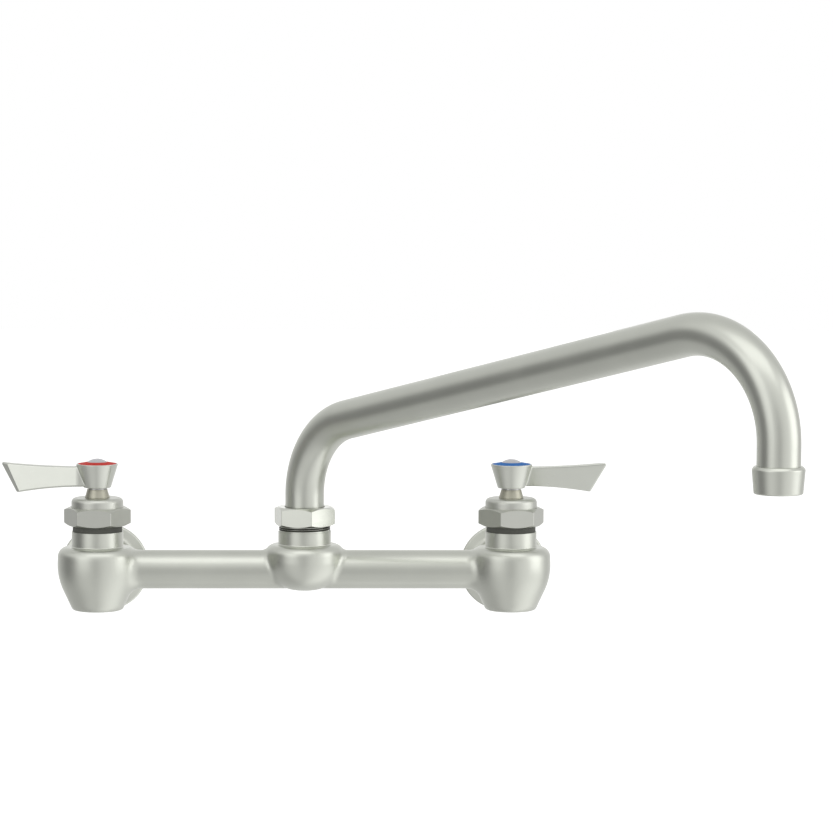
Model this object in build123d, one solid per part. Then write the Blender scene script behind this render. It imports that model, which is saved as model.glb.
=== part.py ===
from build123d import *
import math
import os

# Commercial wall faucet: two quarter-turn valves at 8 inch centres, cross tubes between them and a
# swinging bent-tube spout on a tee in the middle. Millimetres, +Z up. The wall is the plane Y = 0,
# the faucet stands in front of it at negative Y, and the cold valve is at positive X.
# The origin is on the wall, midway between the two inlets and level with them.

# ---- Layout -------------------------------------------------------------------------------------
inlet_spacing = 203.2        # hot axis to cold axis, 8 inches
wall_to_axis = 63.5          # wall to the axes of the valves and the spout
tube_rise = 7.0              # cross tube axis above the inlet axis
running_gap = 0.05           # radial clearance of a part that turns in its bore
thread_gap = 0.05            # radial clearance between the plain cylinders that stand for two threads
seat_gap = 0.05              # clearance of a piece that is pushed or sweated into its seat

# ---- Tubes --------------------------------------------------------------------------------------
tube_diameter = 19.05        # 3/4 inch outside, spout and cross tubes alike
cross_tube_wall = 1.6
spout_wall = 1.2

# ---- Valve body: a turned bulb, widest level with the cross tube ---------------------------------
bulb_radius = 19.8
bulb_foot_radius = 12.3
bulb_foot_round = 2.0
bulb_waist_drop = 3.8        # below the tube axis, where the flank turns in towards the foot
bulb_waist_round = 30.0
bulb_depth = 20.0            # tube axis down to the flat foot
bulb_height = 11.2           # tube axis up to the shoulder
bulb_taper = 0.5             # how much narrower the bulb is at its shoulder
shoulder_share = 0.72        # how much of a shoulder's width is rounded over
neck_radius = 12.6
neck_height = 7.6            # shoulder up to the neck's rim
neck_foot_round = 0.6
stub_reach = 26.5            # valve axis out to the end of the stub that the cross tube is welded to
stub_fillet = 6.5
stub_socket_depth = 5.0      # counterbore of the stub, as wide as the cross tube's bore
boss_radius = 12.9           # boss at the back that takes the inlet shank
boss_reach = 24.0            # valve axis back to the boss's face
boss_fillet = 3.0
floor_thickness = 3.7
seam_turn = -90              # keeps the seam of a turned body at its front, clear of stubs and boss

# ---- Inlet shank, wall flange --------------------------------------------------------------------
shank_radius = 12.7
shank_spigot_radius = 10.6
shank_spigot_length = 6.0
shank_recess = 1.0           # the shank ends this far short of the wall
socket_radius = 9.13         # tapping drill of the 1/2-14 taper pipe thread
socket_depth = 15.0
passage_radius = 4.4         # drilled waterway from the socket to the chamber under the seat
passage_drop = 4.6           # its axis below the inlet axis
flange_diameter = 44.45      # 1 3/4 inch
flange_rim = 2.2
flange_rim_round = 1.2
flange_rise = 1.8            # dish of the flange from its rim to the collar
flange_height = 11.0
flange_collar_radius = 16.0
flange_cove = 3.0
flange_gap = 0.3             # slip fit of the flange on the shank
flange_seal_minor = 1.3

# ---- Cartridge -----------------------------------------------------------------------------------
chamber_radius = 6.0         # inlet chamber under the seat
cavity_radius = 9.6          # cavity round the cartridge
seat_drop = 5.8              # seat below the tube axis
ledge_rise = 8.0             # ledge that carries the cartridge flange, above the tube axis
neck_bore_radius = 11.1
outlet_passage_radius = 4.9
seal_thickness = 1.6
disc_radius = 8.2
fixed_disc_thickness = 2.4
moving_disc_thickness = 2.2
disc_hole_radius = 2.2
disc_hole_offset = 4.7
housing_radius = 9.5
housing_bore_radius = 8.3
housing_foot_gap = 0.2       # the housing ends this far above the cavity floor
housing_flange_radius = 11.0
housing_flange_thickness = 2.0
housing_tube_radius = 6.0
housing_tip_radius = 4.9
housing_tip_height = 4.2     # tapered brass end that stands out of the bonnet
window_radius = 2.5
stem_radius = 4.0
driver_radius = 7.8
driver_thickness = 2.6
spline_radius = 3.4
stem_seal_minor = 0.55
stem_seal_rises = (5.0, 10.0)  # heights of the two seals above the cartridge flange
clip_thickness = 0.6
clip_radius = 4.7
clip_opening = 4.4

# ---- Bonnet --------------------------------------------------------------------------------------
gasket_radius = 12.1
gasket_thickness = 3.0
bonnet_flats = 28.575        # across flats, 1 1/8 inch
bonnet_hex_height = 8.9
bonnet_collar_radius = 12.7
bonnet_collar_height = 4.7
bonnet_collar_round = 2.2
hex_corner_cut = 1.3         # how far the corners of a hexagon are turned down at each end
hex_edge_round = 0.4
hot_bonnet_turn = -3.5       # where each hexagon happened to stop when it was tightened, degrees
cold_bonnet_turn = 9.0
spout_nut_turn = -17.3

# ---- Handle --------------------------------------------------------------------------------------
hub_lift = 0.8               # hub above the tip of the cartridge
hub_height = 11.7
hub_foot_radius = 6.7
hub_top_radius = 10.3
hub_foot_round = 0.4
hub_grip_depth = 7.0         # how far the stem reaches into the hub
index_recess_depth = 1.5
index_recess_radius = 9.5
index_gap = 0.1
index_crown = 0.9            # rise of the coloured ring from its rim to the cap
cap_radius = 4.85
cap_height = 2.5             # cap above the rim of the hub
screw_head_radius = 4.4
screw_head_height = 2.2
screw_radius = 1.45
screw_length = 8.0
lever_length = 48.0          # valve axis to the end of the blade
lever_root = 4.0             # where the blade starts, inside the hub
lever_root_height = 9.7
lever_root_drop = 1.3        # top edge of the blade below the rim of the hub
lever_tip_height = 15.4
lever_tip_rise = 0.9         # top corner of the blade above the rim of the hub
lever_end_slant = 5.6        # how much shorter the blade is along its bottom
lever_thickness = 5.6        # along the top edge
lever_foot_thickness = 3.2   # along the bottom edge
lever_lean = 2.0             # how far the bottom edge stands out from under the top edge
lever_end_bevel = 34.0       # angle at which the end face is cut, seen from above, degrees
lever_edge_round = 0.8
lever_blend = 0.8            # fillet where the blade leaves the hub

# ---- Tee and spout -------------------------------------------------------------------------------
tee_radius = 19.4
tee_depth = 10.1              # tube axis down to the lowest point of the round bowl
tee_bowl_round = 15.5
tee_height = 12.5            # tube axis up to the shoulder
tee_taper = 0.2              # how much narrower the tee is at its shoulder
tee_neck_radius = 12.95
tee_neck_height = 6.4
tee_stub_reach = 22.0
tee_fillet = 4.5
tee_thread_radius = 12.3
swivel_bore_depth = 16.3     # from the tee's rim down
nut_flats = 27.0             # 1 1/16 inch
nut_height = 9.4
nut_lift = 2.8               # bare thread between the neck and the nut
nut_lip = 2.0
nut_lip_gap = 0.38           # between the lip and the spout tube
sleeve_radius = 9.4
sleeve_bore_radius = 7.0
sleeve_length = 14.8
sleeve_flange_radius = 11.6
sleeve_flange_thickness = 1.2
sleeve_spigot_length = 6.0
swivel_seal_minor = 0.9
swivel_seal_drops = (5.0, 10.0)  # depths of the two seals below the tee's rim
washer_thickness = 0.4
spout_reach = 304.8          # swivel axis to outlet axis, 12 inches
arm_slope = 13.2             # rise of the arm, degrees
riser_corner = 68.8          # tube axis up to where the riser and the arm would meet
riser_bend_radius = 40.0
outlet_bend_radius = 45.0
spout_rest_swing = -48.5     # direction of the arm from +X, seen from above, degrees
outlet_height = 62.4         # mouth of the outlet above the tube axis
collar_height = 11.9
collar_top_radius = 11.5
collar_foot_radius = 10.6
collar_round = 0.7
mouth_radius = 8.6
mouth_depth = 2.5
insert_thickness = 3.0
insert_hole_radius = 0.8
insert_ring_step = 2.7       # one hole in the middle, then rings of 6 and 12 holes
outlet_washer_thickness = 1.4

# ---- Levels that follow from the sizes above (heights above the inlet axis) -----------------------
tube_radius = tube_diameter / 2
neck_top = tube_rise + bulb_height + neck_height
seat = tube_rise - seat_drop
ledge = tube_rise + ledge_rise
fixed_disc_foot = seat + seal_thickness
moving_disc_foot = fixed_disc_foot + fixed_disc_thickness
driver_foot = moving_disc_foot + moving_disc_thickness
driver_top = driver_foot + driver_thickness
flange_top = ledge + housing_flange_thickness
hex_foot = neck_top + gasket_thickness
hex_top = hex_foot + bonnet_hex_height
bonnet_top = hex_top + bonnet_collar_height
housing_top = bonnet_top + housing_tip_height
hub_foot = housing_top + hub_lift
hub_top = hub_foot + hub_height
stem_top = hub_foot + hub_grip_depth
tee_neck_top = tube_rise + tee_height + tee_neck_height
nut_foot = tee_neck_top + nut_lift
nut_top = nut_foot + nut_height
sleeve_top = nut_top - nut_lip - washer_thickness
tee_rim = sleeve_top - sleeve_flange_thickness
mouth = tube_rise + outlet_height
insert_foot = mouth + mouth_depth
outlet_washer_foot = insert_foot + insert_thickness
tube_end = outlet_washer_foot + outlet_washer_thickness
collar_top = mouth + collar_height


def turned(*corners):
    """Solid turned about Z. A corner is (radius, height) or (radius, height, rounding)."""
    face = make_face(Polyline(*[corner[:2] for corner in corners], close=True))
    for corner in corners:
        if len(corner) == 3:
            vertex = face.vertices().sort_by_distance(Vector(corner[0], corner[1]))[0]
            face = fillet(vertex, corner[2])
    return revolve(Rot(90, 0, 0) * face, Axis.Z)


def rod(radius, low, high):
    """Cylinder about Z between two heights."""
    return Pos(0, 0, low) * Cylinder(radius, high - low, align=(Align.CENTER, Align.CENTER, Align.MIN))


def tube(outer, inner, low, high):
    """Ring about Z between two heights."""
    return rod(outer, low, high) - rod(inner, low, high)


def rod_along_x(radius, start, end, height):
    """Cylinder along X at a height, on the axis of the valve or tee."""
    return Pos(start, 0, height) * Rot(0, 90, 0) * rod(radius, 0, end - start)


def rod_along_y(radius, start, end, height):
    """Cylinder along Y at a height, on the axis of the valve."""
    return Pos(0, start, height) * Rot(-90, 0, 0) * rod(radius, 0, end - start)


def hexagon(flats, low, high, turn):
    """Hexagonal bar about Z with its corners turned down at both ends."""
    corner = flats / math.sqrt(3)
    outline = RegularPolygon(corner, 6)
    outline = fillet(outline.vertices(), hex_edge_round)
    bar = Pos(0, 0, low) * Rot(0, 0, turn) * extrude(outline, high - low)
    blank = turned(
        (0, low), (corner - 2 * hex_corner_cut, low), (corner, low + hex_corner_cut),
        (corner, high - hex_corner_cut), (corner - 2 * hex_corner_cut, high), (0, high),
    )
    return bar & blank


def o_rings(major, minor, heights):
    """Equal O-rings about Z, as separate solids."""
    return Compound(children=[Pos(0, 0, height) * Torus(major, minor) for height in heights])


def groove(outer, inner, minor, height):
    """Ring that is cut from a shaft to seat an O-ring."""
    return tube(outer + 1, inner, height - minor, height + minor)


# ---- Valve pieces, each on the valve's own axis, with the stub towards +X -------------------------
def valve_body(stub_turn):
    """Body with its boss towards the wall and its stub turned to one side."""
    shoulder = bulb_radius - bulb_taper
    bulb = Rot(0, 0, seam_turn) * turned(
        (0, tube_rise - bulb_depth),
        (bulb_foot_radius, tube_rise - bulb_depth, bulb_foot_round),
        (bulb_radius, tube_rise - bulb_waist_drop, bulb_waist_round),
        (shoulder, tube_rise + bulb_height, shoulder_share * (shoulder - neck_radius)),
        (neck_radius, tube_rise + bulb_height, neck_foot_round),
        (neck_radius, neck_top),
        (0, neck_top),
    )
    sideways = Rot(0, 0, stub_turn)
    stub = sideways * rod_along_x(tube_radius, 0, stub_reach, tube_rise)
    boss = rod_along_y(boss_radius, 0, boss_reach, 0)
    with_stub = bulb + stub
    with_stub = fillet(new_edges(bulb, stub, combined=with_stub), stub_fillet)
    body = with_stub + boss
    body = fillet(new_edges(with_stub, boss, combined=body), boss_fillet)
    chamber_floor = tube_rise - bulb_depth + floor_thickness
    body -= rod(chamber_radius, chamber_floor, seat)
    body -= rod(cavity_radius, seat, ledge)
    body -= rod(neck_bore_radius, ledge, neck_top)
    body -= sideways * rod_along_x(outlet_passage_radius, 0, stub_reach, tube_rise)
    body -= sideways * rod_along_x(
        tube_radius - cross_tube_wall, stub_reach - stub_socket_depth, stub_reach, tube_rise)
    body -= rod_along_y(passage_radius, 0, boss_reach, -passage_drop)
    body -= rod_along_y(shank_spigot_radius + seat_gap, boss_reach - shank_spigot_length, boss_reach, 0)
    return body


def inlet_shank():
    end = wall_to_axis - shank_recess
    shank = rod_along_y(shank_radius, boss_reach, end, 0)
    shank += rod_along_y(shank_spigot_radius, boss_reach - shank_spigot_length, boss_reach, 0)
    shank -= rod_along_y(passage_radius, 0, end, -passage_drop)
    return shank - rod_along_y(socket_radius, end - socket_depth, end, 0)


def wall_flange():
    """Spun flange: flat against the wall, a coved collar round the shank with a seal groove inside."""
    bore = shank_radius + flange_gap
    flange = turned(
        (bore, 0), (flange_diameter / 2, 0), (flange_diameter / 2, flange_rim, flange_rim_round),
        (flange_collar_radius, flange_rim + flange_rise, flange_cove),
        (flange_collar_radius, flange_height, 0.9),
        (bore, flange_height),
    )
    seal_seat = flange_height / 2
    seal_reach = flange_seal_minor + seat_gap
    flange -= tube(shank_radius + flange_seal_minor + seal_reach, bore - 1, seal_seat - seal_reach,
                   seal_seat + seal_reach)
    return Pos(0, wall_to_axis, 0) * Rot(90, 0, 0) * flange


def flange_ring():
    ring = Torus(shank_radius + flange_seal_minor, flange_seal_minor)
    return Pos(0, wall_to_axis - flange_height / 2, 0) * Rot(90, 0, 0) * ring


def seat_seal():
    return tube(disc_radius, chamber_radius, seat, fixed_disc_foot)


def fixed_disc():
    disc = rod(disc_radius, fixed_disc_foot, moving_disc_foot)
    for side in (-1, 1):
        disc -= Pos(0, side * disc_hole_offset) * rod(disc_hole_radius, fixed_disc_foot, moving_disc_foot)
    return disc


def moving_disc():
    """Disc with two notches, a quarter turn away from the holes of the fixed disc while it is shut."""
    disc = rod(disc_radius - running_gap, moving_disc_foot, driver_foot)
    for side in (-1, 1):
        notch = Pos(side * disc_hole_offset, 0) * rod(disc_hole_radius, moving_disc_foot, driver_foot)
        mouth_of_notch = Pos(side * disc_radius, 0, (moving_disc_foot + driver_foot) / 2) * Box(
            2 * (disc_radius - disc_hole_offset), 2 * disc_hole_radius, moving_disc_thickness)
        disc -= notch + mouth_of_notch
    return disc


def cartridge_housing():
    housing = turned(
        (0, seat + housing_foot_gap), (housing_radius, seat + housing_foot_gap), (housing_radius, ledge),
        (housing_flange_radius, ledge), (housing_flange_radius, flange_top),
        (housing_tube_radius, flange_top), (housing_tube_radius, bonnet_top + 0.4),
        (housing_tip_radius, housing_top), (0, housing_top),
    )
    housing -= rod(housing_bore_radius, 0, driver_top + 0.1)
    housing -= rod(stem_radius + running_gap, 0, housing_top)
    window_level = (moving_disc_foot + driver_top) / 2
    housing -= rod_along_x(window_radius, -housing_radius, housing_radius, window_level)
    return housing


def valve_stem():
    """Driver on the moving disc, round shaft with two seal grooves, clip groove, drive end, screw hole."""
    clip_level = housing_top + running_gap
    stem = rod(driver_radius, driver_foot, driver_top)
    stem += rod(stem_radius, driver_top, clip_level)
    stem += rod(spline_radius, clip_level, stem_top - 0.2)
    flats = 2 * spline_radius * math.cos(math.pi / 8)
    octagon = extrude(RegularPolygon(flats / 2, 8, major_radius=False), stem_top - clip_level)
    stem -= tube(stem_radius + 1, 0.1, stem_top - hub_grip_depth, stem_top) - Pos(0, 0, clip_level) * octagon
    for rise in stem_seal_rises:
        stem -= groove(stem_radius, stem_radius - 2 * stem_seal_minor - 0.02, stem_seal_minor + 0.1,
                       flange_top + rise)
    return stem - rod(screw_radius + thread_gap, stem_top - screw_length - 1, stem_top)


def stem_seals():
    heights = [flange_top + rise for rise in stem_seal_rises]
    return o_rings(stem_radius - stem_seal_minor, stem_seal_minor, heights)


def retaining_clip():
    """Open ring that snaps round the stem above the cartridge and keeps it from dropping."""
    foot = housing_top + running_gap
    clip = tube(clip_radius, spline_radius + seat_gap, foot, foot + clip_thickness)
    return clip - Pos(clip_radius, 0, foot) * Box(2 * clip_radius, clip_opening, 4 * clip_thickness)


def bonnet(turn):
    """Hexagon with a domed collar above and a threaded shank below, which clamps the cartridge."""
    collar = turned((0, hex_top - 1), (bonnet_collar_radius, hex_top - 1),
                    (bonnet_collar_radius, bonnet_top, bonnet_collar_round), (0, bonnet_top))
    shape = hexagon(bonnet_flats, hex_foot, hex_top, turn) + collar
    shape += rod(neck_bore_radius - thread_gap, flange_top, hex_foot)
    return shape - rod(housing_tube_radius + seat_gap, flange_top, bonnet_top)


def bonnet_gasket():
    return tube(gasket_radius, neck_bore_radius, neck_top, hex_foot)


def lever_blade():
    """Upright blade, higher and beveled at its end, thicker along its top than along its bottom."""
    root_top = hub_top - lever_root_drop
    root_foot = root_top - lever_root_height
    tip_top = hub_top + lever_tip_rise
    tip_foot = tip_top - lever_tip_height
    middle = (hub_top_radius + lever_length) / 2
    side = make_face([
        ThreePointArc((lever_root, root_top), (middle, root_top + 0.3 * (tip_top - root_top)),
                      (lever_length, tip_top)),
        Line((lever_length, tip_top), (lever_length - lever_end_slant, tip_foot)),
        ThreePointArc((lever_length - lever_end_slant, tip_foot),
                      (middle, root_foot + 0.4 * (tip_foot - root_foot)), (lever_root, root_foot)),
        Line((lever_root, root_foot), (lever_root, root_top)),
    ])
    blade = extrude(Rot(90, 0, 0) * side, lever_thickness, both=True)
    half = lever_thickness / 2
    section = make_face(Polyline(
        (-half, tip_top), (half, tip_top), (half + lever_lean, tip_foot),
        (half + lever_lean - lever_foot_thickness, tip_foot), close=True))
    wedge = extrude(Rot(0, 0, 90) * Rot(90, 0, 0) * section, lever_length)
    lean = math.radians(lever_end_bevel)
    outward = Vector(math.cos(lean), math.sin(lean), -math.cos(lean) * lever_end_slant / lever_tip_height)
    end_face = Plane(origin=(lever_length, -half, tip_top), z_dir=outward)
    blade = split(blade & wedge, bisect_by=end_face, keep=Keep.BOTTOM)
    free_edges = blade.edges().filter_by(lambda edge: edge.center().X > hub_foot_radius)
    return fillet(free_edges, lever_edge_round)


def handle():
    hub = turned((0, hub_foot), (hub_foot_radius, hub_foot, hub_foot_round),
                 (hub_top_radius, hub_top, 0.3), (0, hub_top))
    blade = lever_blade()
    shape = hub + blade
    shape = fillet(new_edges(hub, blade, combined=shape), lever_blend)
    recess = hub_top - index_recess_depth
    shape -= rod(spline_radius + seat_gap, hub_foot, stem_top)
    shape -= rod(screw_head_radius + 0.3, stem_top, recess)
    return shape - rod(index_recess_radius, recess, hub_top)


def handle_screw():
    return rod(screw_radius, stem_top - screw_length, stem_top) + turned(
        (0, stem_top), (screw_head_radius, stem_top),
        (screw_head_radius, stem_top + screw_head_height, 0.8), (0, stem_top + screw_head_height))


def index_ring():
    recess = hub_top - index_recess_depth
    outer = index_recess_radius - index_gap
    inner = cap_radius + index_gap
    return turned((inner, recess), (outer, recess), (outer, hub_top), (inner, hub_top + index_crown))


def index_cap():
    recess = hub_top - index_recess_depth
    crown = hub_top + cap_height
    side = make_face([
        Polyline((0, crown), (0, recess), (cap_radius, recess), (cap_radius, hub_top + index_crown)),
        TangentArc((0, crown), (cap_radius, hub_top + index_crown), tangent=(1, 0)),
    ])
    return revolve(Rot(90, 0, 0) * side, Axis.Z)


# ---- Middle pieces, on the spout's axis -----------------------------------------------------------
def outlet_tee():
    shoulder = tee_radius - tee_taper
    bulb = Rot(0, 0, seam_turn) * turned(
        (0, tube_rise - tee_depth),
        (tee_radius, tube_rise - tee_depth, tee_bowl_round),
        (shoulder, tube_rise + tee_height, shoulder_share * (shoulder - tee_neck_radius)),
        (tee_neck_radius, tube_rise + tee_height, neck_foot_round),
        (tee_neck_radius, tee_neck_top),
        (0, tee_neck_top),
    )
    run = rod_along_x(tube_radius, -tee_stub_reach, tee_stub_reach, tube_rise)
    tee = bulb + run
    tee = fillet(new_edges(bulb, run, combined=tee), tee_fillet)
    tee += rod(tee_thread_radius, tee_neck_top, tee_rim)
    tee -= rod_along_x(tube_radius - cross_tube_wall, -tee_stub_reach, tee_stub_reach, tube_rise)
    tee -= rod(sleeve_bore_radius, tube_rise, tee_rim)
    return tee - rod(sleeve_radius + running_gap, tee_rim - swivel_bore_depth, tee_rim)


def cross_tube():
    """Tube from the tee's stub to the cold body's stub, on the tee's axis."""
    start = tee_stub_reach
    end = inlet_spacing / 2 - stub_reach
    return rod_along_x(tube_radius, start, end, tube_rise) - rod_along_x(
        tube_radius - cross_tube_wall, start, end, tube_rise)


def spout_nut():
    nut = hexagon(nut_flats, nut_foot, nut_top, spout_nut_turn)
    nut -= rod(tee_thread_radius + thread_gap, nut_foot, nut_top - nut_lip)
    return nut - rod(tube_radius + nut_lip_gap, nut_foot, nut_top)


def swivel_washer():
    top = nut_top - nut_lip
    return tube(sleeve_flange_radius, tube_radius + nut_lip_gap, sleeve_top, top)


def swivel_sleeve():
    """Journal that turns in the tee, with a flange that the nut traps and a spigot inside the tube."""
    sleeve = rod(sleeve_radius, tee_rim - sleeve_length, tee_rim)
    sleeve += rod(sleeve_flange_radius, tee_rim, sleeve_top)
    sleeve += rod(tube_radius - spout_wall - seat_gap, sleeve_top, sleeve_top + sleeve_spigot_length)
    for drop in swivel_seal_drops:
        sleeve -= groove(sleeve_radius, sleeve_radius - 2 * swivel_seal_minor - 0.02,
                         swivel_seal_minor + 0.1, tee_rim - drop)
    return sleeve - rod(sleeve_bore_radius, tee_rim - sleeve_length, sleeve_top + sleeve_spigot_length)


def swivel_seals():
    heights = [tee_rim - drop for drop in swivel_seal_drops]
    return o_rings(sleeve_radius - swivel_seal_minor, swivel_seal_minor, heights)


def spout_tube():
    """Bent tube in the XZ plane: riser, bend, rising arm, return bend, short drop to the outlet."""
    corner = tube_rise + riser_corner
    far_corner = corner + spout_reach * math.tan(math.radians(arm_slope))
    path = Plane.XZ * FilletPolyline(
        (0, sleeve_top), (0, corner), (spout_reach, far_corner), (spout_reach, tube_end),
        radius=[riser_bend_radius, outlet_bend_radius])
    ring = Circle(tube_radius) - Circle(tube_radius - spout_wall)
    shape = sweep(Pos(0, 0, sleeve_top) * ring, path=path)
    print("spout tube volume / section times length:", round(shape.volume / (ring.area * path.length), 4))
    return shape


def outlet_collar():
    collar = turned((0, mouth), (collar_foot_radius, mouth, collar_round),
                    (collar_top_radius, collar_top - 1.2, 1.0),
                    (collar_top_radius - 1.0, collar_top, 0.4), (0, collar_top))
    collar -= rod(mouth_radius, mouth, insert_foot)
    collar -= rod(tube_radius + seat_gap, insert_foot, collar_top)
    return Pos(spout_reach, 0, 0) * collar


def aerator_insert():
    insert = rod(tube_radius - seat_gap, insert_foot, outlet_washer_foot)
    for ring in range(3):
        count = max(1, 6 * ring)
        for index in range(count):
            place = Rot(0, 0, 360 * index / count) * Pos(ring * insert_ring_step, 0, 0)
            insert -= place * rod(insert_hole_radius, insert_foot, outlet_washer_foot)
    return Pos(spout_reach, 0, 0) * insert


def outlet_washer():
    washer = tube(tube_radius - seat_gap, mouth_radius - 1, outlet_washer_foot, tube_end)
    return Pos(spout_reach, 0, 0) * washer


# ---- Assembly ------------------------------------------------------------------------------------
spout_axis = Pos(0, -wall_to_axis, 0)
hot_axis = Pos(-inlet_spacing / 2, -wall_to_axis, 0)
cold_axis = Pos(inlet_spacing / 2, -wall_to_axis, 0)
at_rest = spout_axis * Rot(0, 0, spout_rest_swing)

pieces = {}
for name, axis, stub_turn, lever_turn, bonnet_turn in (
    ("hot", hot_axis, 0, 180, hot_bonnet_turn),
    ("cold", cold_axis, 180, 0, cold_bonnet_turn),
):
    facing = axis * Rot(0, 0, lever_turn)
    pieces[name + "_valve_body"] = axis * valve_body(stub_turn)
    pieces[name + "_inlet_shank"] = axis * inlet_shank()
    pieces[name + "_wall_flange"] = axis * wall_flange()
    pieces[name + "_flange_ring"] = axis * flange_ring()
    pieces[name + "_seat_seal"] = axis * seat_seal()
    pieces[name + "_fixed_disc"] = axis * fixed_disc()
    pieces[name + "_cartridge_housing"] = axis * cartridge_housing()
    pieces[name + "_bonnet_gasket"] = axis * bonnet_gasket()
    pieces[name + "_bonnet"] = axis * bonnet(bonnet_turn)
    pieces[name + "_moving_disc"] = axis * moving_disc()
    pieces[name + "_valve_stem"] = facing * valve_stem()
    pieces[name + "_stem_seals"] = axis * stem_seals()
    pieces[name + "_retaining_clip"] = facing * retaining_clip()
    pieces[name + "_handle"] = facing * handle()
    pieces[name + "_handle_screw"] = facing * handle_screw()
    pieces[name + "_index_ring"] = axis * index_ring()
    pieces[name + "_index_cap"] = axis * index_cap()

pieces["outlet_tee"] = spout_axis * outlet_tee()
pieces["cold_cross_tube"] = spout_axis * cross_tube()
pieces["hot_cross_tube"] = spout_axis * Rot(0, 0, 180) * cross_tube()
pieces["spout_nut"] = spout_axis * spout_nut()
pieces["swivel_washer"] = spout_axis * swivel_washer()
pieces["swivel_sleeve"] = at_rest * swivel_sleeve()
pieces["swivel_seals"] = at_rest * swivel_seals()
pieces["spout_tube"] = at_rest * spout_tube()
pieces["outlet_collar"] = at_rest * outlet_collar()
pieces["aerator_insert"] = at_rest * aerator_insert()
pieces["outlet_washer"] = at_rest * outlet_washer()

os.makedirs("parts", exist_ok=True)
for name, piece in pieces.items():
    export_step(piece, os.path.join("parts", name + ".step"))
print(len(pieces), "nodes written")
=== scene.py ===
import bpy
import bmesh
import math
from mathutils import Matrix, Vector


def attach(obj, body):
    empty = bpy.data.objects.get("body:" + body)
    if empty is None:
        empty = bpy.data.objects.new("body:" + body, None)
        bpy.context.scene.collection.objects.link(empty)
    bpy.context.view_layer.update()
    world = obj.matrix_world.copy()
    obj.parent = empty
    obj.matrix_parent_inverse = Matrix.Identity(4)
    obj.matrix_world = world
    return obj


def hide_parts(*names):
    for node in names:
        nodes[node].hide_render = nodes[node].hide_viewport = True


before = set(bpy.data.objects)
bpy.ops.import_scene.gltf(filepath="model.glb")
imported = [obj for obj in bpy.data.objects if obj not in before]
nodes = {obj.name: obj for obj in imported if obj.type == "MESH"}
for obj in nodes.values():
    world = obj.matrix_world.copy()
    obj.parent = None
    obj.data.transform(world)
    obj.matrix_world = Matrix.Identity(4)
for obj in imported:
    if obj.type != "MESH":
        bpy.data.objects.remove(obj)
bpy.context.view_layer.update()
print("frame loaded:", len(nodes), "nodes")

# Where the faucet's axes stand, in metres from the wall's origin
layout = {
    "valveX": 0.1016,        # valve axes from the middle
    "wallToAxis": 0.0635,
    "tubeRise": 0.007,       # cross tube axis above the inlets
    "tubeRadius": 0.009525,
    "spoutSwing": -48.5,     # degrees from +X
    "spoutReach": 0.3048,
}
teePlace = Matrix.Translation((0, -layout["wallToAxis"], 0))
spoutPlace = teePlace @ Matrix.Rotation(math.radians(layout["spoutSwing"]), 4, "Z")
valvePlaces = {
    "hot": Matrix.Translation((-layout["valveX"], -layout["wallToAxis"], 0)),
    "cold": Matrix.Translation((layout["valveX"], -layout["wallToAxis"], 0)),
}


# Shader nodes. A value is a number, a colour or the output of another node.
def addNode(tree, kind, values=None, **settings):
    node = tree.nodes.new(kind)
    for key, value in settings.items():
        setattr(node, key, value)
    for key, value in (values or {}).items():
        if isinstance(value, bpy.types.NodeSocket):
            tree.links.new(value, node.inputs[key])
        else:
            node.inputs[key].default_value = value
    return node


def calc(tree, operation, *values, clamp=False):
    return addNode(tree, "ShaderNodeMath", dict(enumerate(values)),
                   operation=operation, use_clamp=clamp).outputs[0]


def calcVector(tree, operation, *values):
    return addNode(tree, "ShaderNodeVectorMath", dict(enumerate(values)),
                   operation=operation).outputs[0]


def mixColour(tree, factor, first, second):
    return addNode(tree, "ShaderNodeMix", {0: factor, 6: first, 7: second},
                   data_type="RGBA").outputs[2]


def noise(tree, place, look):
    return addNode(tree, "ShaderNodeTexNoise", {"Vector": place, **look}).outputs["Fac"]


def mapValue(tree, source, low, high):
    return addNode(tree, "ShaderNodeMapRange", {"Value": source, "To Min": low,
                                                "To Max": high}).outputs["Result"]


def fadeOut(tree, source, full, none):
    return addNode(tree, "ShaderNodeMapRange", {"Value": source, "From Min": full, "From Max": none,
                                                "To Min": 1.0, "To Max": 0.0}).outputs["Result"]


def ramp(tree, source, stops):
    node = addNode(tree, "ShaderNodeValToRGB", {"Fac": source})
    while len(node.color_ramp.elements) < len(stops):
        node.color_ramp.elements.new(0.5)
    for element, (place, grey) in zip(node.color_ramp.elements, stops):
        element.position = place
        element.color = (grey, grey, grey, 1)
    return node.outputs["Color"]


def pickShader(tree, factor, first, second):
    return addNode(tree, "ShaderNodeMixShader", {0: factor, 1: first, 2: second}).outputs[0]


def nodeGroup(name, inputs, outputs):
    group = bpy.data.node_groups.new(name, "ShaderNodeTree")
    for label, kind, value in inputs:
        socket = group.interface.new_socket(name=label, in_out="INPUT", socket_type=kind)
        if value is not None:
            socket.default_value = value
    for label in outputs:
        group.interface.new_socket(name=label, in_out="OUTPUT", socket_type="NodeSocketFloat")
    return (group, group.nodes.new("NodeGroupInput").outputs,
            group.nodes.new("NodeGroupOutput").inputs)


# Brush lines: noise that is stretched across one direction of the coordinates it is given
brushGroup, brushIn, brushOut = nodeGroup(
    "brushLines",
    [("Vector", "NodeSocketVector", None), ("Stretch", "NodeSocketVector", (30, 30, 3000))],
    ["Lines", "Cloud"])
brushNoises = {
    "Lines": (calcVector(brushGroup, "MULTIPLY", brushIn["Vector"], brushIn["Stretch"]),
              {"Scale": 1.0, "Detail": 5.0, "Roughness": 0.65}),
    "Cloud": (brushIn["Vector"], {"Scale": 45.0, "Detail": 3.0, "Roughness": 0.55}),
}
for label, (place, look) in brushNoises.items():
    brushGroup.links.new(noise(brushGroup, place, look), brushOut[label])

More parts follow.
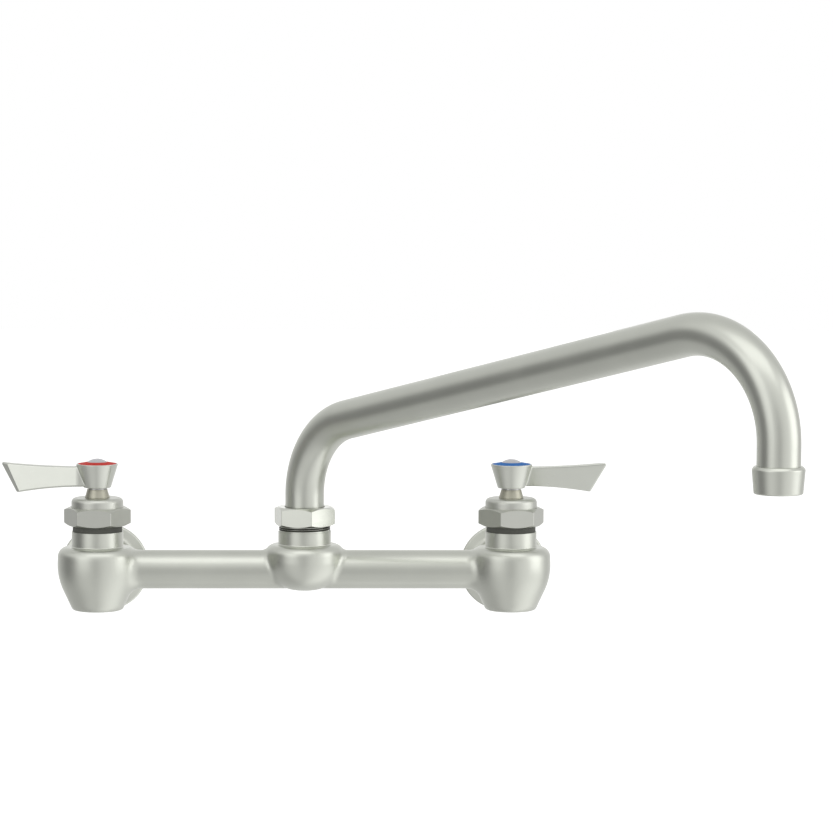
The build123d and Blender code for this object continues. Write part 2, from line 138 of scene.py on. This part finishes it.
# Handling marks: short thin scratches in two directions and faint finger smudges. Stops: a value
# of the noise, and how strong the mark is there.
marksGroup, marksIn, marksOut = nodeGroup(
    "handlingMarks",
    [("Vector", "NodeSocketVector", None), ("Density", "NodeSocketFloat", 1.0)],
    ["Scratches", "Smudges"])
marksLook = {
    "scratchSets": (
        {"Rotation": (0.3, 0.5, 0.9), "Scale": (900, 40, 60)},
        {"Rotation": (1.1, -0.4, 2.2), "Scale": (50, 1100, 70)},
    ),
    "scratch": {"Scale": 1.0, "Detail": 2.0},
    "scratchStops": ((0.66, 0.0), (0.70, 1.0)),
    "smudge": {"Scale": 28.0, "Detail": 4.0, "Distortion": 0.6},
    "smudgeStops": ((0.45, 0.0), (0.72, 1.0)),
}
scratches = []
for look in marksLook["scratchSets"]:
    turned = addNode(marksGroup, "ShaderNodeMapping", {"Vector": marksIn["Vector"], **look})
    hair = noise(marksGroup, turned.outputs["Vector"], marksLook["scratch"])
    scratches.append(ramp(marksGroup, hair, marksLook["scratchStops"]))
marksGroup.links.new(calc(marksGroup, "MULTIPLY", calc(marksGroup, "MAXIMUM", *scratches),
                          marksIn["Density"], clamp=True), marksOut["Scratches"])
smudge = noise(marksGroup, marksIn["Vector"], marksLook["smudge"])
marksGroup.links.new(ramp(marksGroup, smudge, marksLook["smudgeStops"]), marksOut["Smudges"])


def newMaterial(name):
    material = bpy.data.materials.new(name)
    material.use_nodes = True
    tree = material.node_tree
    return (material, tree, tree.nodes["Principled BSDF"],
            tree.nodes.new("ShaderNodeTexCoord").outputs)


def rgba(colour, dim=1.0):
    return tuple(part * dim for part in colour) + (1,)


# The slant begins just outside the hub, measured from the middle of the faucet
blade = {"start": layout["valveX"] + 0.0085, "full": layout["valveX"] + 0.0105}


# Blades are ground to a slant: the front of the hot one looks up, the front of the cold one down
def slantedNormal(tree, coords, angle):
    sideways = addNode(tree, "ShaderNodeSeparateXYZ", {0: coords["Object"]}).outputs["X"]
    facing = addNode(tree, "ShaderNodeSeparateXYZ", {0: coords["Normal"]}).outputs["Y"]
    onBlade = addNode(tree, "ShaderNodeMapRange", {
        "Value": calc(tree, "ABSOLUTE", sideways),
        "From Min": blade["start"], "From Max": blade["full"],
        "To Max": math.tan(math.radians(angle))}).outputs["Result"]
    side = calc(tree, "SIGN", sideways)
    lift = calc(tree, "MULTIPLY", calc(tree, "MULTIPLY", side, facing), onBlade)
    upward = addNode(tree, "ShaderNodeCombineXYZ", {"Z": lift}).outputs[0]
    shape = tree.nodes.new("ShaderNodeNewGeometry").outputs["Normal"]
    return calcVector(tree, "NORMALIZE", calcVector(tree, "ADD", shape, upward))


# Heights between which the softened joins give way to the crisp necks
bulbRim = {"full": 0.0135, "none": 0.0165}


# Polishing wheels run the bulbs and the stubs into each other; necks, rims and seams stay crisp
def blendedNormal(tree, coords, blend):
    place = addNode(tree, "ShaderNodeSeparateXYZ", {0: coords["Object"]}).outputs
    lowPart = fadeOut(tree, place["Z"], bulbRim["full"], bulbRim["none"])
    fromAxis = addNode(tree, "ShaderNodeCombineXYZ", {
        "X": calc(tree, "ADD", calc(tree, "ABSOLUTE", place["X"]), -blend["axis"]),
        "Y": calc(tree, "ADD", place["Y"], layout["wallToAxis"])}).outputs[0]
    radius = addNode(tree, "ShaderNodeVectorMath", {0: fromAxis},
                     operation="LENGTH").outputs["Value"]
    mask = calc(tree, "MULTIPLY", lowPart, fadeOut(tree, radius, blend["full"], blend["none"]))
    soft = addNode(tree, "ShaderNodeBevel", {"Radius": blend["reach"]}, samples=8).outputs["Normal"]
    shape = tree.nodes.new("ShaderNodeNewGeometry").outputs["Normal"]
    mixed = addNode(tree, "ShaderNodeMix", {0: mask, 4: shape, 5: soft},
                    data_type="VECTOR").outputs[1]
    return calcVector(tree, "NORMALIZE", mixed)


# What every metal has unless its own look says otherwise
polish = {
    "darker": 0.86,          # the dark end of its tone
    "lineShare": 0.35,       # how much the brush lines tint it
    "lineRough": 0.07,
    "smudgeRough": 0.06,
    "scratches": 0.5,
    "scratchDepth": -0.5,    # against the height of the brush lines
    "bump": 0.12,
    "bumpReach": 0.00004,
}


def metal(name, look):
    look = {**polish, **look}
    material, tree, shader, coords = newMaterial(name)
    brushPlace = coords["UV" if "alongUv" in look else "Object"]
    brush = addNode(tree, "ShaderNodeGroup", {"Vector": brushPlace, "Stretch": look["stretch"]},
                    node_tree=brushGroup).outputs
    marks = addNode(tree, "ShaderNodeGroup",
                    {"Vector": coords["Object"], "Density": look["scratches"]},
                    node_tree=marksGroup).outputs
    dark = rgba(look["colour"], look["darker"])
    tone = mixColour(tree, brush["Cloud"], dark, rgba(look["colour"]))
    lined = mixColour(tree, brush["Lines"], dark, tone)
    tree.links.new(mixColour(tree, look["lineShare"], tone, lined), shader.inputs["Base Color"])
    lines = mapValue(tree, brush["Lines"], look["roughness"] - look["lineRough"],
                     look["roughness"] + look["lineRough"])
    rough = calc(tree, "MULTIPLY_ADD", marks["Smudges"], look["smudgeRough"], lines, clamp=True)
    tree.links.new(rough, shader.inputs["Roughness"])
    shader.inputs["Metallic"].default_value = 1.0
    height = calc(tree, "MULTIPLY_ADD", marks["Scratches"], look["scratchDepth"], brush["Lines"])
    bump = addNode(tree, "ShaderNodeBump", {"Strength": look["bump"], "Distance": look["bumpReach"],
                                            "Height": height})
    tree.links.new(bump.outputs["Normal"], shader.inputs["Normal"])
    if "slant" in look:
        tree.links.new(slantedNormal(tree, coords, look["slant"]), bump.inputs["Normal"])
    if "blend" in look:
        tree.links.new(blendedNormal(tree, coords, look["blend"]), bump.inputs["Normal"])
    return material


# What every plastic, rubber and ceramic has unless its own look says otherwise
moulding = {
    "darker": 0.8,
    "cloudScale": 90.0,
    "roughSpread": 0.06,
    "bumpReach": 0.00005,
    "coat": 0.0,
    "specular": 0.5,
}


def moulded(name, look):
    look = {**moulding, **look}
    material, tree, shader, coords = newMaterial(name)
    grain = noise(tree, coords["Object"], {"Scale": look["grainScale"], "Detail": 4.0})
    cloudy = noise(tree, coords["Object"], {"Scale": look["cloudScale"], "Detail": 2.0})
    colour = mixColour(tree, cloudy, rgba(look["colour"], look["darker"]), rgba(look["colour"]))
    tree.links.new(colour, shader.inputs["Base Color"])
    rough = mapValue(tree, grain, look["roughness"] - look["roughSpread"],
                     look["roughness"] + look["roughSpread"])
    tree.links.new(rough, shader.inputs["Roughness"])
    bump = addNode(tree, "ShaderNodeBump", {"Strength": look["bump"], "Distance": look["bumpReach"],
                                            "Height": grain})
    tree.links.new(bump.outputs["Normal"], shader.inputs["Normal"])
    shader.inputs["Coat Weight"].default_value = look["coat"]
    shader.inputs["Specular IOR Level"].default_value = look["specular"]
    return material


steelTone = (0.645, 0.66, 0.60)
metals = {
    # turned parts: lines run round the upright axis
    "turnedSteel": {"colour": steelTone, "roughness": 0.33, "stretch": (25, 25, 4500)},
    "bodySteel": {"colour": steelTone, "roughness": 0.33, "stretch": (25, 25, 4500),
                  "blend": {"reach": 0.005, "axis": layout["valveX"],
                            "full": 0.0200, "none": 0.0240}},
    "teeSteel": {"colour": steelTone, "roughness": 0.33, "stretch": (25, 25, 4500),
                 "blend": {"reach": 0.0045, "axis": 0.0, "full": 0.0165, "none": 0.0200}},
    # tubes polished on a belt: lines run round the tube
    "tubeSteel": {"colour": steelTone, "roughness": 0.33, "stretch": (4500, 25, 25)},
    "shankSteel": {"colour": steelTone, "roughness": 0.33, "stretch": (25, 4500, 25)},
    "spoutSteel": {"colour": steelTone, "roughness": 0.31, "stretch": (4500, 25, 1),
                   "alongUv": True},
    # hexagons, milled and a little brighter on the nut
    "hexSteel": {"colour": (0.62, 0.63, 0.58), "roughness": 0.36, "stretch": (60, 60, 3000),
                 "bump": 0.16},
    "nutSteel": {"colour": (0.675, 0.69, 0.63), "roughness": 0.20, "stretch": (60, 60, 3000),
                 "bump": 0.14},
    "castSteel": {"colour": (0.65, 0.665, 0.61), "roughness": 0.30, "stretch": (500, 500, 500),
                  "bump": 0.05, "lineShare": 0.15, "slant": 20.0},
    "cartridgeBrass": {"colour": (0.47, 0.46, 0.38), "roughness": 0.36, "stretch": (40, 40, 3500)},
    "springSteel": {"colour": (0.50, 0.50, 0.49), "roughness": 0.30, "stretch": (800, 800, 800)},
    # near black: painted shade of the shadowed gap under the spout nut, not the steel's own colour
    "threadInPaintedShade": {"colour": (0.07, 0.07, 0.06), "roughness": 0.45, "stretch": (60, 60, 3000)},
}
plastics = {
    "blackRubber": {"colour": (0.022, 0.022, 0.022), "roughness": 0.62, "grainScale": 2500,
                    "bump": 0.25},
    # dark fibre gasket; its tone is also set as painted shade for the shadowed recess under the
    # bonnet
    "fibreAndPaintedShade": {"colour": (0.095, 0.098, 0.084), "roughness": 0.70, "grainScale": 1500,
                  "bump": 0.30},
    "redIndex": {"colour": (0.60, 0.03, 0.02), "roughness": 0.55, "grainScale": 1800, "bump": 0.05,
                 "specular": 0.1},
    "blueIndex": {"colour": (0.02, 0.16, 0.50), "roughness": 0.55, "grainScale": 1800, "bump": 0.05,
                  "specular": 0.1},
    "greyIndex": {"colour": (0.54, 0.54, 0.56), "roughness": 0.32, "grainScale": 1800, "bump": 0.05,
                  "coat": 0.3},
    "paleWasher": {"colour": (0.80, 0.80, 0.78), "roughness": 0.50, "grainScale": 2000,
                   "bump": 0.08},
    "greyNozzle": {"colour": (0.36, 0.37, 0.38), "roughness": 0.45, "grainScale": 2200,
                   "bump": 0.12},
    "discCeramic": {"colour": (0.82, 0.81, 0.76), "roughness": 0.16, "grainScale": 900,
                    "bump": 0.03, "darker": 0.94, "coat": 0.4},
}
finishes = {name: metal(name, look) for name, look in metals.items()}
finishes.update({name: moulded(name, look) for name, look in plastics.items()})

# Finish of each node; the two sides of the faucet share theirs, apart from the coloured rings
finishOf = {
    "valve_body": "bodySteel", "inlet_shank": "shankSteel", "wall_flange": "shankSteel",
    "flange_ring": "blackRubber", "seat_seal": "blackRubber", "fixed_disc": "discCeramic",
    "cartridge_housing": "cartridgeBrass", "bonnet_gasket": "fibreAndPaintedShade", "bonnet": "hexSteel",
    "moving_disc": "discCeramic", "valve_stem": "cartridgeBrass", "stem_seals": "blackRubber",
    "retaining_clip": "springSteel", "handle": "castSteel", "handle_screw": "springSteel",
    "index_cap": "greyIndex", "cross_tube": "tubeSteel", "outlet_tee": "teeSteel",
    "spout_nut": "nutSteel", "swivel_washer": "paleWasher", "swivel_sleeve": "cartridgeBrass",
    "swivel_seals": "blackRubber", "spout_tube": "spoutSteel", "outlet_collar": "turnedSteel",
    "aerator_insert": "greyNozzle", "outlet_washer": "blackRubber",
    "hot_index_ring": "redIndex", "cold_index_ring": "blueIndex",
}


def dress(piece, finish):
    piece.data.materials.clear()
    piece.data.materials.append(finishes[finish])


for name, node in nodes.items():
    kind = name.removeprefix("hot_").removeprefix("cold_")
    dress(node, finishOf.get(name) or finishOf[kind])
print("nodes dressed")


weldDistance = 1e-7      # metres between points that are one point


def newPiece(name, bm, place, finish, body):
    bmesh.ops.remove_doubles(bm, verts=bm.verts, dist=weldDistance)
    bmesh.ops.recalc_face_normals(bm, faces=bm.faces)
    bmesh.ops.transform(bm, matrix=place, verts=bm.verts)
    mesh = bpy.data.meshes.new(name)
    bm.to_mesh(mesh)
    bm.free()
    mesh.shade_smooth()
    piece = bpy.data.objects.new(name, mesh)
    bpy.context.scene.collection.objects.link(piece)
    dress(piece, finish)
    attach(piece, body)
    return piece


# Spout tube, drawn again as one smooth skin so that its polish follows the bends
spout = {
    "foot": 0.0357, "end": 0.0763,                 # heights of the tube's two ends
    "corner": 0.0758,                              # height where riser and arm would meet
    "slope": 13.2,                                 # degrees, the arm's rise
    "riserBend": 0.040, "outletBend": 0.045,       # bend radii on the tube's axis
    "wall": 0.0012,
    "segments": 96, "endSteps": 3, "armSteps": 12, "bendSteps": 40,
}


def spoutSkin():
    slope = math.radians(spout["slope"])
    reach = layout["spoutReach"]
    armWay = Vector((math.cos(slope), 0, math.sin(slope)))
    firstTurn, secondTurn = math.pi / 2 - slope, math.pi / 2 + slope
    firstTrim = spout["riserBend"] * math.tan(firstTurn / 2)      # what a bend takes from each run
    secondTrim = spout["outletBend"] * math.tan(secondTurn / 2)
    armLength = reach / math.cos(slope) - firstTrim - secondTrim
    riserTop = spout["corner"] - firstTrim
    dropTop = spout["corner"] + reach * math.tan(slope) - secondTrim

    bm = bmesh.new()
    start = bmesh.ops.create_circle(bm, segments=spout["segments"],
                                    radius=layout["tubeRadius"])["verts"]
    bmesh.ops.translate(bm, vec=(0, 0, spout["foot"]), verts=start)
    along = dict.fromkeys(start, 0.0)     # how far along the tube each point lies
    loop, done = list(bm.edges), 0.0

    def nextRing(length):
        nonlocal loop, done
        made = bmesh.ops.extrude_edge_only(bm, edges=loop)["geom"]
        ring = [part for part in made if isinstance(part, bmesh.types.BMVert)]
        fresh = set(ring)
        loop = [part for part in made
                if isinstance(part, bmesh.types.BMEdge) and fresh.issuperset(part.verts)]
        done += length
        along.update(dict.fromkeys(ring, done))
        return ring

    def run(way, steps):
        for step in range(steps):
            bmesh.ops.translate(bm, verts=nextRing(way.length / steps), vec=way / steps)

    def bend(radius, turn, centre):
        for step in range(spout["bendSteps"]):
            bmesh.ops.rotate(bm, verts=nextRing(radius * turn / spout["bendSteps"]), cent=centre,
                             matrix=Matrix.Rotation(turn / spout["bendSteps"], 3, "Y"))

    run(Vector((0, 0, riserTop - spout["foot"])), spout["endSteps"])
    bend(spout["riserBend"], firstTurn, (spout["riserBend"], 0, riserTop))
    run(armWay * armLength, spout["armSteps"])
    bend(spout["outletBend"], secondTurn, (reach - spout["outletBend"], 0, dropTop))
    run(Vector((0, 0, spout["end"] - dropTop)), spout["endSteps"])

    uvLayer = bm.loops.layers.uv.new("polish")
    for face in bm.faces:
        for corner in face.loops:
            corner[uvLayer].uv = (along[corner.vert], 0.0)
    return bm


skin = newPiece("spout_skin", spoutSkin(), spoutPlace, "spoutSteel", "spout")
wall = skin.modifiers.new("wall", "SOLIDIFY")
wall.thickness = spout["wall"]
wall.offset = -1
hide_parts("spout_tube")
print("spout skin made")


# Screw threads that show: on the tee under the nut, and inside the two inlet sockets.
# A negative depth points inwards.
teeThread = {"radius": 0.01225, "depth": 0.00042, "pitch": 0.00094, "length": 0.0019,
             "steps": 72, "foot": 0.02635}
socketThread = {"radius": 0.00916, "depth": -0.00055, "pitch": 0.001814, "length": 0.0125,
                "steps": 64, "start": 0.002}
ridge = {"foot": 0.49, "crest": 0.06}      # half widths, as shares of the pitch


def threadRidge(look):
    bm = bmesh.new()
    radius, pitch = look["radius"], look["pitch"]
    crest = radius + look["depth"]
    foot, top = pitch * ridge["foot"], pitch * ridge["crest"]
    profile = ((radius, 0, -foot), (crest, 0, -top), (crest, 0, top), (radius, 0, foot))
    verts = [bm.verts.new(point) for point in profile]
    face = bm.faces.new(verts)
    turns = look["length"] / pitch
    bmesh.ops.spin(bm, geom=[face] + list(face.edges) + verts, axis=(0, 0, 1), cent=(0, 0, 0),
                   dvec=(0, 0, pitch / look["steps"]), angle=2 * math.pi * turns,
                   steps=int(turns * look["steps"]), use_merge=False, use_duplicate=False)
    return bm


threadPlace = teePlace @ Matrix.Translation((0, 0, teeThread["foot"]))
# The tee's thread is coloured near black as painted shade for the shadowed gap under the nut
newPiece("tee_thread", threadRidge(teeThread), threadPlace, "threadInPaintedShade",
         "faucet_body")
towardsRoom = Matrix.Rotation(math.radians(90), 4, "X")
for side, place in valvePlaces.items():
    mouthPlace = place @ Matrix.Translation((0, layout["wallToAxis"] - socketThread["start"], 0))
    newPiece(side + "_socket_thread", threadRidge(socketThread), mouthPlace @ towardsRoom,
             "shankSteel", "faucet_body")
print("threads cut")


floorLook = {
    "size": 6.0, "height": -0.25,
    "dark": (0.80, 0.80, 0.79), "pale": (0.84, 0.84, 0.83), "speckle": 3.0,
    "roughness": 0.8, "specular": 0.1,
    "lift": 0.56,            # what raises it to the backdrop's white where the camera sees it
}


# The camera sees the floor lifted to white, with its shadow. In the metal it gives way to the
# surround, so that no horizon shows there.
def makeFloor():
    bm = bmesh.new()
    bmesh.ops.create_grid(bm, x_segments=2, y_segments=2, size=floorLook["size"])
    bmesh.ops.translate(bm, verts=bm.verts, vec=(0, 0, floorLook["height"]))
    mesh = bpy.data.meshes.new("floor")
    bm.to_mesh(mesh)
    bm.free()
    floor = bpy.data.objects.new("floor", mesh)
    bpy.context.scene.collection.objects.link(floor)
    material, tree, shader, coords = newMaterial("paleFloor")
    speckle = noise(tree, coords["Object"], {"Scale": floorLook["speckle"], "Detail": 2.0})
    tree.links.new(mixColour(tree, speckle, rgba(floorLook["dark"]), rgba(floorLook["pale"])),
                   shader.inputs["Base Color"])
    shader.inputs["Roughness"].default_value = floorLook["roughness"]
    shader.inputs["Specular IOR Level"].default_value = floorLook["specular"]
    path = tree.nodes.new("ShaderNodeLightPath").outputs
    glow = addNode(tree, "ShaderNodeEmission", {"Color": (1, 1, 1, 1),
                                                "Strength": floorLook["lift"]}).outputs[0]
    lifted = addNode(tree, "ShaderNodeAddShader", {0: shader.outputs[0], 1: glow}).outputs[0]
    clear = tree.nodes.new("ShaderNodeBsdfTransparent").outputs[0]
    seen = pickShader(tree, path["Is Camera Ray"], shader.outputs[0], lifted)
    surface = pickShader(tree, path["Is Glossy Ray"], seen, clear)
    tree.links.new(surface, tree.nodes["Material Output"].inputs["Surface"])
    floor.data.materials.append(material)


makeFloor()

lampAim = (0.05, -0.1, 0.05)
lamps = {
    "leftBox": {"place": (-1.25, -1.50, 0.55), "size": (1.3, 1.6), "power": 3.2},
    "rightBox": {"place": (1.85, -0.55, 0.45), "size": (1.3, 1.6), "power": 5.0},
    "topBox": {"place": (0.10, -0.95, 1.70), "size": (2.2, 1.1), "power": 4.5},
}
for name, look in lamps.items():
    data = bpy.data.lights.new(name, "AREA")
    data.shape = "RECTANGLE"
    data.size, data.size_y = look["size"]
    data.energy = look["power"]
    lamp = bpy.data.objects.new(name, data)
    lamp.location = look["place"]
    toAim = Vector(lampAim) - Vector(look["place"])
    lamp.rotation_euler = toAim.to_track_quat("-Z", "Y").to_euler()
    bpy.context.scene.collection.objects.link(lamp)

# What the metal mirrors: a pale room with a dark card at the left and a narrow dark slot where
# the camera stands. Ring and ground: degrees from the camera, plus to the right, and the grey
# there. Ceiling: from the user's side (-1) to the wall's (1), and the grey there.
studio = {
    "ring": ((-180, 0.84), (-150, 0.60), (-130, 0.44), (-112, 0.34), (-101, 0.19), (-75, 0.18),
             (-64, 0.36), (-50, 0.56), (-38, 0.59), (-24, 0.58), (-12, 0.50), (-2, 0.34), (8, 0.54),
             (20, 0.67), (45, 0.73), (66, 0.80), (90, 0.87), (106, 0.68), (120, 0.46), (140, 0.60),
             (180, 0.84)),
    "low": ((-180, 0.60), (-150, 0.48), (-125, 0.46), (-101, 0.42), (-78, 0.38), (-62, 0.48),
            (-45, 0.58), (-12, 0.58), (-2, 0.44), (8, 0.60), (45, 0.82), (90, 0.98), (120, 0.68),
            (180, 0.60)),
    "high": ((-1.0, 0.64), (-0.75, 0.70), (-0.25, 0.72), (0.05, 0.64), (0.35, 0.54), (1.0, 0.60)),
    # Sines of the heights where ceiling and ground begin, and where nothing else is left
    "highFrom": 0.14, "highFull": 0.55,
    "lowFrom": -0.24, "lowFull": -0.55,
    "gain": 1.40,            # strength of the room in the metal
    "diffuse": 0.74,         # strength of the room on everything else
}


def studioStops(part, first, last):
    return [((place - first) / (last - first), grey) for place, grey in studio[part]]


def makeWorld():
    world = bpy.data.worlds.new("studio")
    bpy.context.scene.world = world
    world.use_nodes = True
    tree = world.node_tree
    coords = tree.nodes.new("ShaderNodeTexCoord").outputs
    way = addNode(tree, "ShaderNodeSeparateXYZ", {0: coords["Generated"]}).outputs
    azimuth = calc(tree, "ARCTAN2", way["X"], calc(tree, "MULTIPLY", way["Y"], -1.0))
    around = calc(tree, "MULTIPLY_ADD", azimuth, 0.5 / math.pi, 0.5)
    back = calc(tree, "MULTIPLY_ADD", way["Y"], 0.5, 0.5)
    mirrored = ramp(tree, around, studioStops("ring", -180, 180))
    bands = {
        "high": ramp(tree, back, studioStops("high", -1, 1)),
        "low": ramp(tree, around, studioStops("low", -180, 180)),
    }
    for band, tone in bands.items():
        fade = addNode(tree, "ShaderNodeMapRange", {
            "Value": way["Z"],
            "From Min": studio[band + "From"], "From Max": studio[band + "Full"]},
            interpolation_type="SMOOTHSTEP").outputs["Result"]
        mirrored = mixColour(tree, fade, mirrored, tone)

    room = tree.nodes["Background"]
    room.inputs["Color"].default_value = (1, 1, 1, 1)
    room.inputs["Strength"].default_value = studio["diffuse"]
    inMetal = addNode(tree, "ShaderNodeBackground", {"Color": mirrored,
                                                     "Strength": studio["gain"]}).outputs[0]
    white = addNode(tree, "ShaderNodeBackground",
                    {"Color": (1, 1, 1, 1), "Strength": 1.0}).outputs[0]
    path = tree.nodes.new("ShaderNodeLightPath").outputs
    lighting = pickShader(tree, path["Is Glossy Ray"], room.outputs[0], inMetal)
    surface = pickShader(tree, path["Is Camera Ray"], lighting, white)
    tree.links.new(surface, tree.nodes["World Output"].inputs["Surface"])


makeWorld()

view = {
    "distance": 1.700,       # lens to the spout's axis
    "elevation": 7.5,        # degrees
    "aim": (0.0548, -0.0635, 0.0825),
    "lens": 149.05, "sensor": 36,
    "roll": 0.25,            # degrees, levels the cross tube
    "farthest": 50,
}
camera = bpy.data.objects.new("camera", bpy.data.cameras.new("camera"))
bpy.context.scene.collection.objects.link(camera)
rise = math.radians(view["elevation"])
camera.location = (0, -layout["wallToAxis"] - view["distance"] * math.cos(rise),
                   layout["tubeRise"] + view["distance"] * math.sin(rise))
aimTurn = (Vector(view["aim"]) - camera.location).to_track_quat("-Z", "Y").to_matrix()
camera.rotation_euler = (aimTurn @ Matrix.Rotation(math.radians(view["roll"]), 3, "Z")).to_euler()
camera.data.lens = view["lens"]
camera.data.sensor_width = view["sensor"]
camera.data.clip_end = view["farthest"]
bpy.context.scene.camera = camera
bpy.context.scene.view_settings.view_transform = "Standard"
print("stage set")
